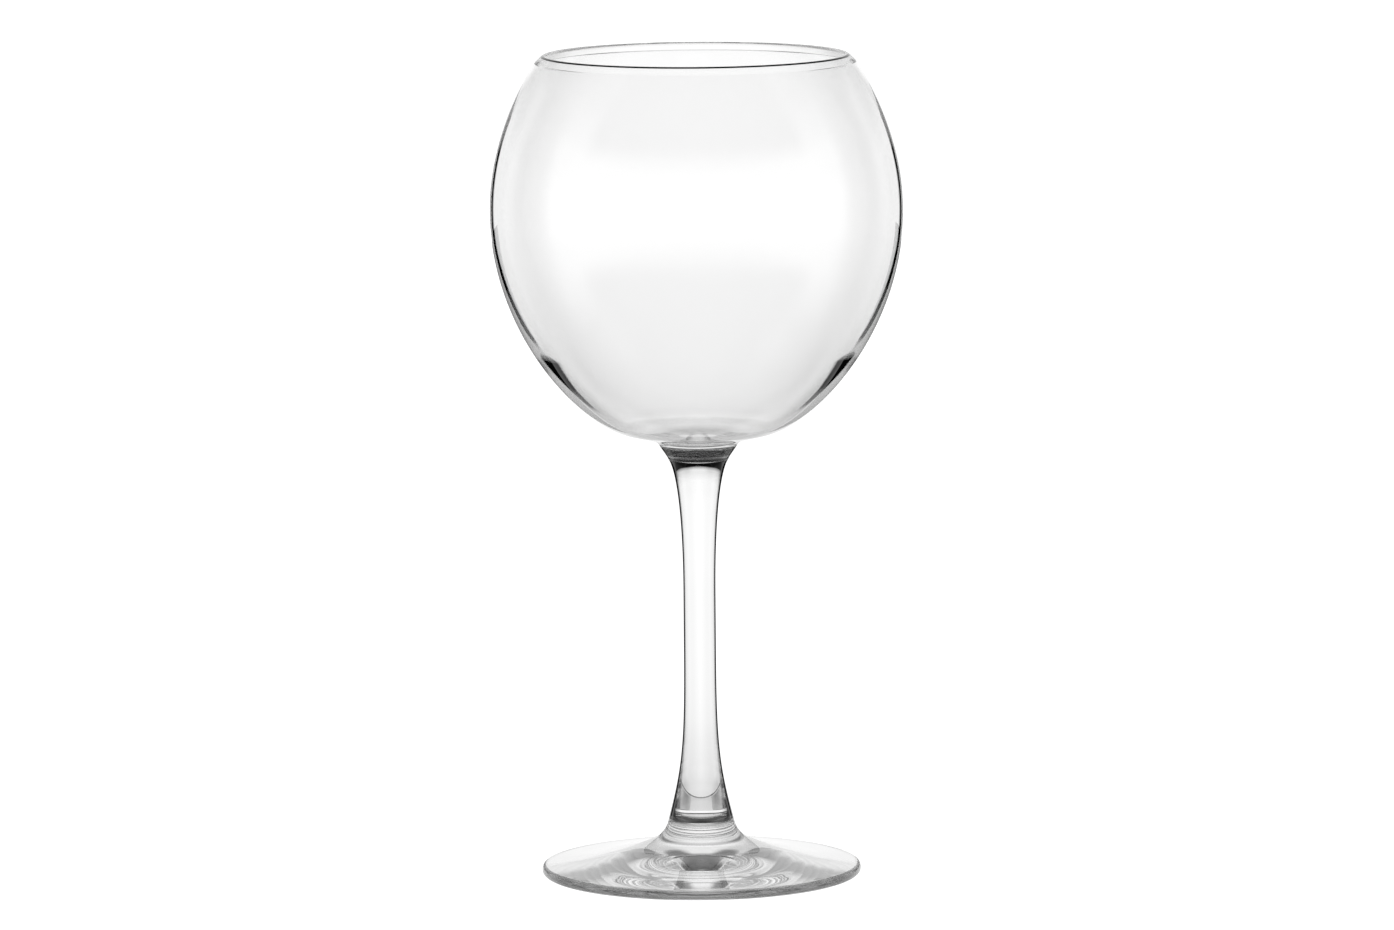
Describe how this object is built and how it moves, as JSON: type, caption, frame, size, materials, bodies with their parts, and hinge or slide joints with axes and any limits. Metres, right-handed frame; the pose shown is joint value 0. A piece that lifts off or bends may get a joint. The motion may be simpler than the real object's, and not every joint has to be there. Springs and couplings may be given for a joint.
{
  "type": "wine glass",
  "caption": "Stemmed balloon wine glass in clear glass: a wide thin-walled bowl with a rim turned slightly inwards, a waisted solid stem and a round disc foot.",
  "frame": {"origin": "the middle of the circle on which the foot rests, at table height", "axes": "+Z is the axis of the stem and bowl and points up; X and Y are any two level directions, because the glass is round"},
  "size_m": [0.1124, 0.1124, 0.2251],
  "materials": {
    "bowl_glass": "clear blown glass, fire-polished rim",
    "stem_glass": "clear drawn glass, solid and polished",
    "foot_glass": "clear pressed and spun glass, polished"
  },
  "bodies": {
    "root": {"bowl": "bowl_glass", "stem": "stem_glass", "foot": "foot_glass"}
  },
  "joints": []
}
